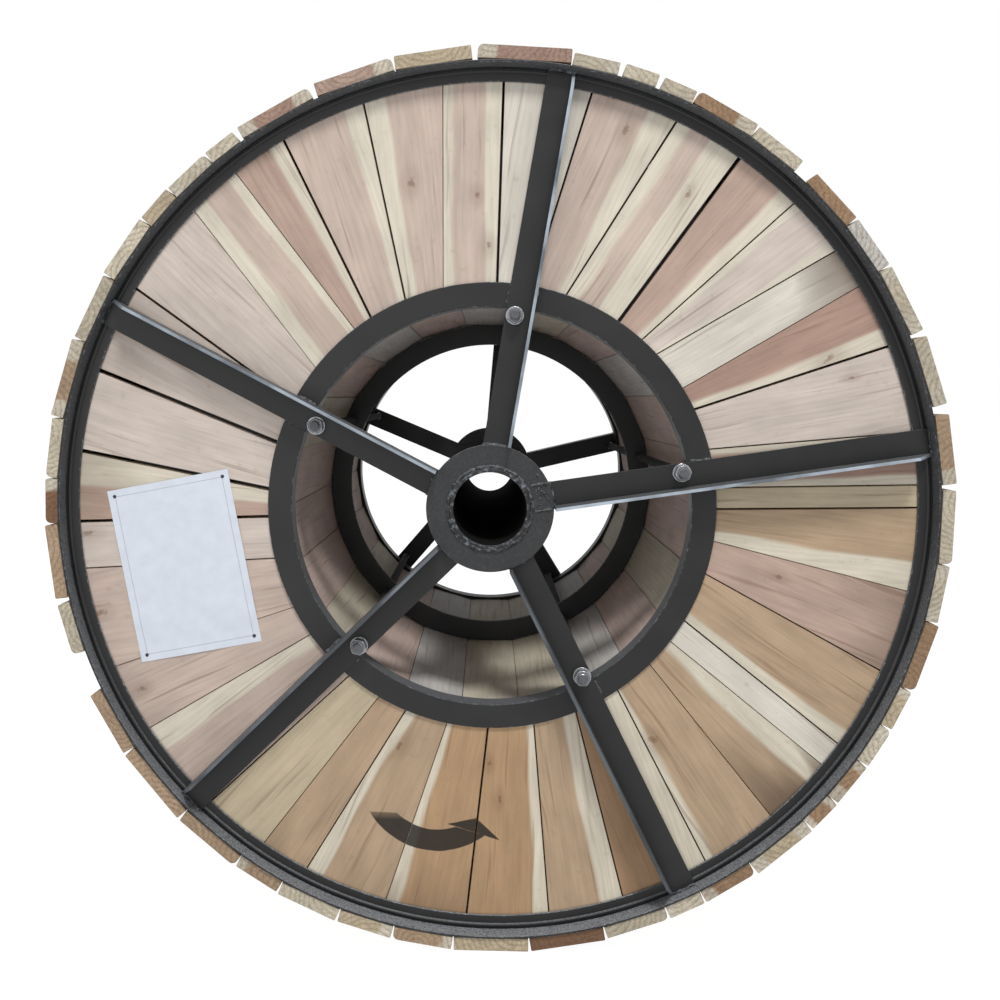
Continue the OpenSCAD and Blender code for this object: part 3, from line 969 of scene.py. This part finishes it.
class DRUM_OT_spokes(bpy.types.Operator):
    """Rounds the edges of the ten angle spokes"""
    bl_idname = "drum.spokes"
    bl_label = "Spokes"

    def execute(self, context):
        steel = context.scene.cable_drum.steel
        paint = material_of(satin_black_paint, steel)
        for side in SIDES:
            for number in SPOKES:
                bm = copy_of(f"{side}_spoke_{number}")
                soften(bm, steel.edge * 0.7, 1)
                # Each spoke's share is partly wear and partly painted shade, which dims the strips of the
                # spokes that point down
                mark_faces(bm, "bare", lambda face: EDGE_WEAR_AND_SHADE[number - 1] * rubs(face, side))
                keep(bm, f"spoke_{side}_{number}", paint, "painted_steel", f"{side}_spoke_{number}")
        return {"FINISHED"}


class DRUM_OT_hub(bpy.types.Operator):
    """Turns the hub plates and the arbor tube"""
    bl_idname = "drum.hub"
    bl_label = "Hub"

    def execute(self, context):
        steel = context.scene.cable_drum.steel
        paint = material_of(satin_black_paint, steel)
        plate = [(TUBE_R, SPOKE_OUT), (HUB_R, SPOKE_OUT), (HUB_R, HUB_OUT), (TUBE_R, HUB_OUT)]
        for side in SIDES:
            bm = turned(bmesh.new(), on_side(side, plate), HUB_STEPS)
            soften(bm, steel.edge)
            wear_flat(bm, 0.07)
            mark_faces(bm, "weather", lambda face: 0.07)
            keep(bm, f"hub_plate_{side}", paint, "painted_steel", f"{side}_hub_plate")
        bore = steel.bore / 2
        wall = [(bore, -TUBE_END), (TUBE_R, -TUBE_END), (TUBE_R, TUBE_END), (bore, TUBE_END)]
        bm = turned(bmesh.new(), wall, HUB_STEPS)
        soften(bm, steel.edge)
        # The tube's end faces are marked fully worn: pale chips of bare steel, partly a painted highlight
        # along the bore's edge
        wear_flat(bm, 1.0)
        # The bore is marked dark: painted shade inside the tube
        mark_faces(bm, "film_and_shade", faces_axis)
        keep(bm, "arbor_sleeve", paint, "painted_steel", "arbor_tube")
        return {"FINISHED"}


def rod_places():
    """Middles of the tie rods, one on each spoke."""
    bm = copy_of("tie_rods")
    places = [middle_of(group) for group in islands(bm)]
    bm.free()
    return sorted(places, key=lambda place: angle_of(place) % FULL_TURN)


def weld_bead(bm, start, end, width):
    """A run of weld between two points."""
    run = end - start
    stand = Matrix.Translation((start + end) / 2) @ run.to_track_quat("Z", "Y").to_matrix().to_4x4()
    made = bmesh.ops.create_cone(
        bm, cap_ends=True, segments=8, radius1=width / 2, radius2=width / 2, depth=run.length, matrix=stand)
    sides = edges_along(made["verts"], run.normalized())
    bmesh.ops.subdivide_edges(bm, edges=sides, cuts=max(2, int(run.length / RIPPLE)))


def spoke_lines(side, steel):
    """For each spoke of a flange, the directions along it and across it from its standing leg."""
    hand = -OUTWARD[side]
    lines = []
    for place in rod_places():
        lean = math.asin((steel.spoke_shift + steel.rod_offset) / from_axis(place))
        angle = angle_of(place) - hand * lean
        lines.append((out_from_axis(angle), hand * out_from_axis(angle + math.pi / 2)))
    return lines


class DRUM_OT_welds(bpy.types.Operator):
    """Runs weld beads round the arbor tube, at the hub, and where spokes cross rings and rims"""
    bl_idname = "drum.welds"
    bl_label = "Welds"

    def execute(self, context):
        steel = context.scene.cable_drum.steel
        paint = material_of(satin_black_paint, steel)
        for side in SIDES:
            bm = bmesh.new()
            self.bore_weld(bm, side, steel)
            for out, beside in spoke_lines(side, steel):
                self.spoke_welds(bm, side, steel, out, beside)
            if side == "front":
                self.repair(bm, steel)
            bm.normal_update()
            for vert in bm.verts:
                rough = noise.noise(vert.co * per_mm(6)) + 0.6 * noise.noise(vert.co * per_mm(2.5))
                vert.co += vert.normal * (UNEVEN * rough)
            # Welds are marked worn all over, so pale chips speckle them: partly bare steel, partly painted
            # glints on the rough bead
            mark_faces(bm, "worn", lambda face: 0.9)
            keep(bm, f"welds_{side}", paint, "painted_steel")
        return {"FINISHED"}

    def bore_weld(self, bm, side, steel):
        """The heavy weld round the arbor tube."""
        ring = [
            (TUBE_R + steel.weld * (0.25 + 0.45 * math.cos(t)), HUB_OUT + steel.weld * 0.42 * math.sin(t))
            for t in [FULL_TURN * i / 10 for i in range(10)]
        ]
        turned(bm, on_side(side, ring), WELD_STEPS)

    def spoke_welds(self, bm, side, steel, out, beside):
        """Beads along a spoke where it crosses the ring, at the rim and at the hub's edge."""
        low = AXIS * (OUTWARD[side] * LEG_OUT)
        top = AXIS * (OUTWARD[side] * SPOKE_OUT)
        edges = (steel.spoke_shift - steel.spoke_leg / 2, steel.spoke_shift + steel.spoke_leg / 2)
        for edge in edges:
            near = out * (RING_OUT_R - steel.ring_leg + WELD_GAP) + beside * edge + low
            far = out * (RING_OUT_R - WELD_GAP) + beside * edge + low
            weld_bead(bm, near, far, steel.weld * 0.6)
        reach = math.sqrt((RIM_R - steel.wall) ** 2 - edges[1] ** 2)
        corners = [out * reach + beside * edge + top for edge in edges]
        weld_bead(bm, *corners, steel.weld * 0.7)
        steps = [edges[0] + (edges[1] - edges[0]) * i / 6 for i in range(7)]
        rim = [out * math.sqrt(HUB_R ** 2 - step ** 2) + beside * step + top for step in steps]
        for first, last in zip(rim, rim[1:]):
            weld_bead(bm, first, last, steel.weld * 0.7)

    def repair(self, bm, steel):
        """Two rough runs and drops of spatter on the front hub plate, at the spoke to the right."""
        rng = random.Random("repair")
        face = AXIS * (OUTWARD["front"] * HUB_OUT)
        out, beside = max(spoke_lines("front", steel), key=lambda line: line[0].x)
        for share in (-0.48, 0.48):
            line = beside * (steel.spoke_shift + share * steel.spoke_leg) + face
            weld_bead(bm, out * (TUBE_R + 0.006) + line, out * (HUB_R - 0.005) + line, steel.weld * 0.5)
        for _ in range(steel.spatter):
            across = steel.spoke_shift + rng.gauss(0, 0.4) * steel.spoke_leg
            drop = out * rng.uniform(TUBE_R + 0.006, HUB_R - 0.008) + beside * across + face
            bmesh.ops.create_icosphere(
                bm, subdivisions=1, radius=rng.uniform(0.0008, 0.0022), matrix=Matrix.Translation(drop))


def dull_flats(bm, share):
    """Marks the flats of nuts or washers as dulled by a dark film, and leaves their edges bright."""
    film_and_shade = bm.faces.layers.float.new("film_and_shade")
    worn = bm.faces.layers.float["worn"]
    for face in bm.faces:
        face[film_and_shade] = 0.0 if face[worn] else share


class DRUM_OT_tie_rods(bpy.types.Operator):
    """Threads the tie rods and dresses their nuts and washers"""
    bl_idname = "drum.tie_rods"
    bl_label = "Tie rods"

    def execute(self, context):
        steel = context.scene.cable_drum.steel
        zinc = material_of(bright_zinc_plate, steel)
        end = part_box("tie_rods")[1][1]
        crest = self.rod_radius()
        root = crest - steel.pitch * 0.5
        plain = end - steel.thread
        half = [(crest, plain)]
        for turn in range(int(steel.thread / steel.pitch)):
            start = plain + turn * steel.pitch
            half += [(root, start + steel.pitch * 0.25), (crest, start + steel.pitch * 0.75)]
        half += [(root, end), (0, end)]
        profile = [(radius, -along) for radius, along in reversed(half)] + half
        bm = bmesh.new()
        for place in rod_places():
            rod = turned(bmesh.new(), profile, ROD_STEPS, closed=False)
            bmesh.ops.translate(rod, verts=rod.verts, vec=(place.x, 0, place.z))
            mesh = bpy.data.meshes.new("rod")
            rod.to_mesh(mesh)
            rod.free()
            bm.from_mesh(mesh)
            bpy.data.meshes.remove(mesh)
        # The rods' plain length inside the barrel is marked dark, as painted shade
        mark_faces(bm, "film_and_shade", lambda face: self.film_and_shade(abs(face.calc_center_median().y), plain, end))
        keep(bm, "threaded_rods", zinc, "zinc_steel", "tie_rods")

        bm = copy_of("tie_rod_washers")
        soften(bm, WASHER_EDGE)
        dull_flats(bm, 0.3)
        keep(bm, "rod_washers", zinc, "zinc_steel", "tie_rod_washers")

        bm = copy_of("tie_rod_nuts")
        corners = []
        for group in islands(bm):
            spans = spans_of(group)
            widest = max(spans.values())
            top = max(abs(v.co.y) for v in group)
            corners += [v for v in group if spans[v] > widest * 0.95 and abs(v.co.y) > top - MERGE]
        round_off(bm, corners, NUT_CORNER, 1, "VERTICES")
        soften(bm, NUT_EDGE)
        dull_flats(bm, 0.62)
        keep(bm, "rod_nuts", zinc, "zinc_steel", "tie_rod_nuts")
        return {"FINISHED"}

    def rod_radius(self):
        """Radius of a tie rod, from its solid."""
        bm = copy_of("tie_rods")
        radius = max(spans_of(islands(bm)[0]).values())
        bm.free()
        return radius

    def film_and_shade(self, along, plain, end):
        """Share of darkening on a rod: most on its plain length inside the barrel, as painted shade, least on
        its thread.
        """
        if along < plain:
            return 0.9
        return 0.75 if along > end - MERGE else 0.2


class DRUM_OT_flange_planks(bpy.types.Operator):
    """Saws the planks of both flanges, each with its own wood"""
    bl_idname = "drum.flange_planks"
    bl_label = "Flange planks"

    def execute(self, context):
        wood = context.scene.cable_drum.wood
        material = material_of(sawn_wood, wood)
        for side in SIDES:
            rng = random.Random(f"planks {side}")
            bm = copy_of(f"{side}_flange_planks")
            front = AXIS * OUTWARD[side]
            for group in boards_in_order(bm):
                self.plane_down(group, front, wood.setback, rng)
            soften(bm, wood.edge)
            layers = grain_layers(bm)
            for group, look in paired(bm, PLANKS):
                radii = [from_axis(v.co) for v in group]
                split = (min(radii) + max(radii)) / 2
                outer = middle_of([v for v, r in zip(group, radii) if r > split])
                inner = middle_of([v for v, r in zip(group, radii) if r <= split])
                mark_board(layers, Board(group, outer - inner, -AXIS), look, rng)
            mark_faces(bm, "arrow", lambda face: side == "front" and face.normal.y < -FACING)
            keep(bm, f"planks_{side}", material, "flange_wood", f"{side}_flange_planks")
        return {"FINISHED"}

    def plane_down(self, group, front, most, rng):
        """Sets a plank's face back a little, and a little more at one edge."""
        middle = middle_of(group)
        beside = out_from_axis(angle_of(middle) + math.pi / 2)
        depth = rng.uniform(0.0, most)
        lean = rng.uniform(-0.4, 0.4) * most / 0.06
        for vert in group:
            offset = vert.co - middle
            if offset.dot(front) > 0:
                vert.co -= front * max(0.0, depth + lean * offset.dot(beside))


class DRUM_OT_barrel(bpy.types.Operator):
    """Sets the staves and the hoop that holds them up"""
    bl_idname = "drum.barrel"
    bl_label = "Barrel"

    def execute(self, context):
        wood = context.scene.cable_drum.wood
        steel = context.scene.cable_drum.steel
        rng = random.Random("staves")
        material = material_of(sawn_wood, wood)
        paint = material_of(satin_black_paint, steel)
        bm = copy_of("barrel_staves")
        for group in boards_in_order(bm):
            middle = middle_of(group)
            out = out_from_axis(angle_of(middle))
            depth = rng.uniform(0, STAVE_SETBACK)
            for vert in group:
                if (vert.co - middle).dot(out) < 0:
                    vert.co += out * depth
        soften(bm, wood.edge)
        layers = grain_layers(bm)
        for group, tone in paired(bm, STAVES):
            through = -out_from_axis(angle_of(middle_of(group)))
            look = Plank(tone, stain=rng.uniform(0, 0.5))
            mark_board(layers, Board(group, AXIS, through), look, rng)
        keep(bm, "stave_boards", material, "barrel_wood", "barrel_staves")

        wall = steel.hoop_wall
        leg = steel.hoop_leg
        section = [
            (HOOP_R - leg, HOOP_FRONT), (HOOP_R, HOOP_FRONT), (HOOP_R, HOOP_FRONT + leg),
            (HOOP_R - wall, HOOP_FRONT + leg), (HOOP_R - wall, HOOP_FRONT + wall),
            (HOOP_R - leg, HOOP_FRONT + wall),
        ]
        bm = turned(bmesh.new(), section, BARREL_STEPS)
        soften(bm, steel.edge)
        keep(bm, "stave_hoop", paint, "painted_steel", "barrel_hoop")
        return {"FINISHED"}


class DRUM_OT_cable(bpy.types.Operator):
    """Turns the wound cable with the ridges of its outer layer"""
    bl_idname = "drum.cable"
    bl_label = "Wound cable"

    def execute(self, context):
        cable = context.scene.cable_drum.cable
        jacket = material_of(black_polyethylene, cable)
        bm = copy_of("barrel_staves")
        core = max(from_axis(v.co) for v in bm.verts)
        bm.free()
        ridges = round(2 * WOUND_END / cable.diameter)
        step = 2 * WOUND_END / ridges
        rise = step * 0.42
        outline = [(core, WOUND_END), (core, -WOUND_END)]
        for ridge in range(ridges):
            for part in range(4):
                share = part / 4
                radius = WOUND_R - rise + rise * math.sin(math.pi * share)
                outline.append((radius, -WOUND_END + (ridge + share) * step))
        outline.append((WOUND_R - rise, WOUND_END))
        bm = turned(bmesh.new(), outline, BARREL_STEPS)
        keep(bm, "cable_turns", jacket, "cable_jacket", "cable_winding")
        return {"FINISHED"}


class DRUM_OT_lagging(bpy.types.Operator):
    """Lays the lagging boards, some with rounded corners and short ends"""
    bl_idname = "drum.lagging"
    bl_label = "Lagging boards"

    def execute(self, context):
        wood = context.scene.cable_drum.wood
        rng = random.Random("lagging")
        material = material_of(sawn_wood, wood)
        bm = copy_of("lagging_boards")
        slight, rounded = [], []
        for group in boards_in_order(bm):
            middle = middle_of(group)
            out = out_from_axis(angle_of(middle))
            resting = out.z < -0.99
            lower = 0 if resting else rng.uniform(0, LOWER)
            short = {-1: rng.uniform(0, wood.short_end), 1: rng.uniform(0, wood.short_end)}
            for vert in group:
                end = 1 if vert.co.y > 0 else -1
                vert.co.y -= end * short[end]
                if (vert.co - middle).dot(out) > 0:
                    vert.co -= out * lower
            for edge in edges_along(group, AXIS):
                if (middle_of(edge.verts) - middle).dot(out) > 0 and not resting:
                    (rounded if rng.random() < ROUNDED_SHARE else slight).append(edge)
        for edges, width, segments in ((rounded, wood.worn_corner, 4), (slight, wood.worn_corner / 5, 2)):
            round_off(bm, [e for e in edges if e.is_valid], width, segments)
        soften(bm, wood.edge)
        layers = grain_layers(bm)
        for group, tone in paired(bm, LAGGING):
            out = out_from_axis(angle_of(middle_of(group)))
            knots = (rng.uniform(0.1, 0.45), rng.uniform(0.55, 0.9))
            look = Plank(tone, rng.choice((0, 0, 0.2)), rng.choice((0, 0, 0.25)), knots, rng.uniform(0, 0.3))
            mark_board(layers, Board(group, -AXIS, out), look, rng)
        keep(bm, "lagging_planks", material, "lagging_wood", "lagging_boards")
        return {"FINISHED"}


class DRUM_OT_straps(bpy.types.Operator):
    """Draws the straps over the lagging and crimps their seals"""
    bl_idname = "drum.straps"
    bl_label = "Straps"

    def execute(self, context):
        cable = context.scene.cable_drum.cable
        steel = material_of(rolled_steel_strap, cable)
        for number in (1, 2):
            node = f"strap_{number}"
            low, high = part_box(node)
            bm = copy_of(node)
            bm.normal_update()
            flat = min(
                (f for f in bm.faces if outwardness(f) > FACING),
                key=lambda f: abs(angle_of(f.calc_center_median()) - cable.seal_angle))
            middle = flat.calc_center_median()
            stand = flat.normal.copy()
            soften(bm, STRAP_EDGE, 1)
            ahead = AXIS.cross(stand)
            turn = Matrix((ahead, AXIS, stand)).transposed().to_4x4()
            size = Matrix.Diagonal((cable.seal_length, high[1] - low[1] + SEAL_WIDER, 2 * cable.seal_wall, 1))
            made = bmesh.ops.create_cube(bm, size=1, matrix=Matrix.Translation(middle) @ turn @ size)
            lengthwise = edges_along(made["verts"], ahead)
            cut = bmesh.ops.subdivide_edges(bm, edges=lengthwise, cuts=SEAL_PARTS - 1)
            for vert in (v for v in cut["geom_inner"] if isinstance(v, bmesh.types.BMVert)):
                share = (vert.co - middle).dot(ahead) / cable.seal_length
                if round(share * SEAL_PARTS) % 2:
                    vert.co.y += (middle.y - vert.co.y) * NOTCH_SHARE
            keep(bm, f"steel_strap_{number}", steel, "strap_steel", node)
        return {"FINISHED"}


class DRUM_OT_sheet(bpy.types.Operator):
    """Hangs the plain sheet on its four tacks"""
    bl_idname = "drum.sheet"
    bl_label = "Paper sheet"

    def execute(self, context):
        cable = context.scene.cable_drum.cable
        paper = material_of(plain_paper, cable)
        lacquer = material_of(black_lacquer, cable)
        half = Vector((cable.sheet_width / 2, cable.sheet_length / 2, 0))
        stand = (
            Matrix.Translation(Vector((SHEET_MIDDLE.x, SHEET_BACK, SHEET_MIDDLE.z)))
            @ Matrix.Rotation(-cable.sheet_tilt, 4, "Y") @ Matrix.Rotation(math.pi / 2, 4, "X"))
        bm = bmesh.new()
        bmesh.ops.create_grid(
            bm, x_segments=42, y_segments=60, size=1, matrix=Matrix.Diagonal((half.x, half.y, 1, 1)))
        page = bm.verts.layers.float_vector.new("page")
        for vert in bm.verts:
            vert[page] = vert.co
            vert.co.z = self.bulge(vert.co, half, cable)
        bmesh.ops.solidify(bm, geom=bm.faces[:], thickness=SHEET_WALL)
        bmesh.ops.transform(bm, matrix=stand, verts=bm.verts)
        sheet = keep(bm, "sheet_of_paper", paper, "paper", "paper_sheet")

        bm = bmesh.new()
        for right, up in CORNERS:
            foot = Vector((
                right * (half.x - cable.tack_inset), up * (half.y - cable.tack_inset), 2 * SHEET_GAP))
            dome = Matrix.Translation(stand @ foot) @ Matrix.Diagonal((1, 0.5, 1, 1))
            bmesh.ops.create_icosphere(bm, subdivisions=3, radius=cable.tack / 2, matrix=dome)
        tacks = keep(bm, "sheet_tacks", lacquer, "painted_steel")
        return {"FINISHED"}

    def bulge(self, place, half, cable):
        """Height of the sheet above the planks: it lies close at its tacks and bulges between them."""
        u = place.x / half.x
        v = place.y / half.y
        tack = (half.x - cable.tack_inset, half.y - cable.tack_inset)
        corner = min(
            math.hypot(place.x - right * tack[0], place.y - up * tack[1]) for right, up in CORNERS)
        slack = min(1.0, corner / TACK_REACH)
        fold = 0.5 + 0.5 * noise.noise(Vector((u * 1.1, v * 2.6, 3.1)))
        crease = 0.25 * noise.noise(Vector((u * 3.0, v * 6.0, 8.0)))
        return SHEET_GAP + cable.sheet_lift * slack * max(0.0, fold + crease)


class DRUM_OT_stage(bpy.types.Operator):
    """Sets the floor, the light and the camera"""
    bl_idname = "drum.stage"
    bl_label = "Stage"

    def execute(self, context):
        stage = context.scene.cable_drum.stage
        scene = bpy.context.scene
        scene.view_settings.view_transform = "Standard"
        self.floor(stage)
        self.world(stage, scene)
        for name, (place, size, power) in LAMPS.items():
            self.lamp(name, place, size, power)
        self.camera(stage, scene)
        return {"FINISHED"}

    def floor(self, stage):
        """A pale floor that the camera sees as white, with the drum's soft shadow on it."""
        bm = bmesh.new()
        bmesh.ops.create_grid(
            bm, x_segments=1, y_segments=1, size=FLOOR_SIZE, matrix=Matrix.Translation((0, 0, FLOOR)))
        mesh = bpy.data.meshes.new("floor")
        bm.to_mesh(mesh)
        bm.free()
        mesh.materials.append(material_of(self.pale_floor, stage))
        floor = bpy.data.objects.new("floor", mesh)
        bpy.context.scene.collection.objects.link(floor)

    def pale_floor(self, tree, stage):
        """Matt paint on a level floor, white to the eye but for the drum's shadow."""
        part = add(tree, "Math", (seen_directly(tree), GLOW_SHARE), operation="MULTIPLY")
        matt = add(tree, "BsdfDiffuse", {"Color": stage.floor})
        white = add(tree, "Emission", {"Strength": GLOW})
        return add(tree, "MixShader", (part, matt, white))

    def world(self, stage, scene):
        """Soft light from all round, which the camera and reflections see as white."""
        scene.world = bpy.data.worlds.new("studio")
        scene.world.use_nodes = True
        tree = scene.world.node_tree
        tree.nodes.clear()
        seen = seen_directly(tree)
        fill = add(tree, "Background", {"Color": stage.daylight, "Strength": stage.fill})
        white = add(tree, "Background", {"Color": (1, 1, 1, 1), "Strength": 1.0})
        shader = add(tree, "MixShader", (seen, fill, white))
        add(tree, "OutputWorld", {"Surface": shader})

    def lamp(self, name, place, size, power):
        """A square soft lamp that faces the middle of the drum."""
        light = bpy.data.lights.new(name, "AREA")
        light.size = size
        light.energy = power
        lamp = bpy.data.objects.new(name, light)
        lamp.location = place
        lamp.rotation_euler = (-Vector(place)).to_track_quat("-Z", "Y").to_euler()
        bpy.context.scene.collection.objects.link(lamp)

    def camera(self, stage, scene):
        """The camera of the picture, square to the front flange and a little above its middle."""
        level = Vector((math.cos(stage.yaw), math.sin(stage.yaw), 0))
        ahead = Vector((
            -math.cos(stage.pitch) * math.sin(stage.yaw), math.cos(stage.pitch) * math.cos(stage.yaw),
            -math.sin(stage.pitch)))
        upward = level.cross(ahead)
        right = math.cos(stage.roll) * level + math.sin(stage.roll) * upward
        up = math.cos(stage.roll) * upward - math.sin(stage.roll) * level
        lens = bpy.data.cameras.new("camera")
        lens.lens = stage.lens
        lens.sensor_width = SENSOR
        lens.shift_x, lens.shift_y = stage.shift
        camera = bpy.data.objects.new("camera", lens)
        camera.matrix_world = (
            Matrix.Translation(stage.eye) @ Matrix((right, up, -ahead)).transposed().to_4x4())
        scene.collection.objects.link(camera)
        scene.camera = camera


OPERATORS = (
    DRUM_OT_rims, DRUM_OT_inner_rings, DRUM_OT_spokes, DRUM_OT_hub, DRUM_OT_welds, DRUM_OT_tie_rods,
    DRUM_OT_flange_planks, DRUM_OT_barrel, DRUM_OT_cable, DRUM_OT_lagging, DRUM_OT_straps, DRUM_OT_sheet,
    DRUM_OT_stage,
)


class DRUM_PT_panel(bpy.types.Panel):
    """Lists the drum's pieces"""
    bl_idname = "DRUM_PT_panel"
    bl_label = "Cable Drum"
    bl_space_type = "VIEW_3D"
    bl_region_type = "UI"
    bl_category = "Cable Drum"

    def draw(self, context):
        for operator in OPERATORS:
            self.layout.operator(operator.bl_idname)


CLASSES = (
    SteelSettings, WoodSettings, CableSettings, StageSettings, DrumSettings, *OPERATORS, DRUM_PT_panel,
)


def register():
    """Adds the settings, operators and panel."""
    for cls in CLASSES:
        bpy.utils.register_class(cls)
    bpy.types.Scene.cable_drum = bpy.props.PointerProperty(type=DrumSettings)


def unregister():
    """Takes them away again."""
    del bpy.types.Scene.cable_drum
    for cls in reversed(CLASSES):
        bpy.utils.unregister_class(cls)


def main():
    """Builds the drum piece by piece."""
    register()
    for operator in OPERATORS:
        group, name = operator.bl_idname.split(".")
        getattr(getattr(bpy.ops, group), name)()


if __name__ == "__main__":
    main()
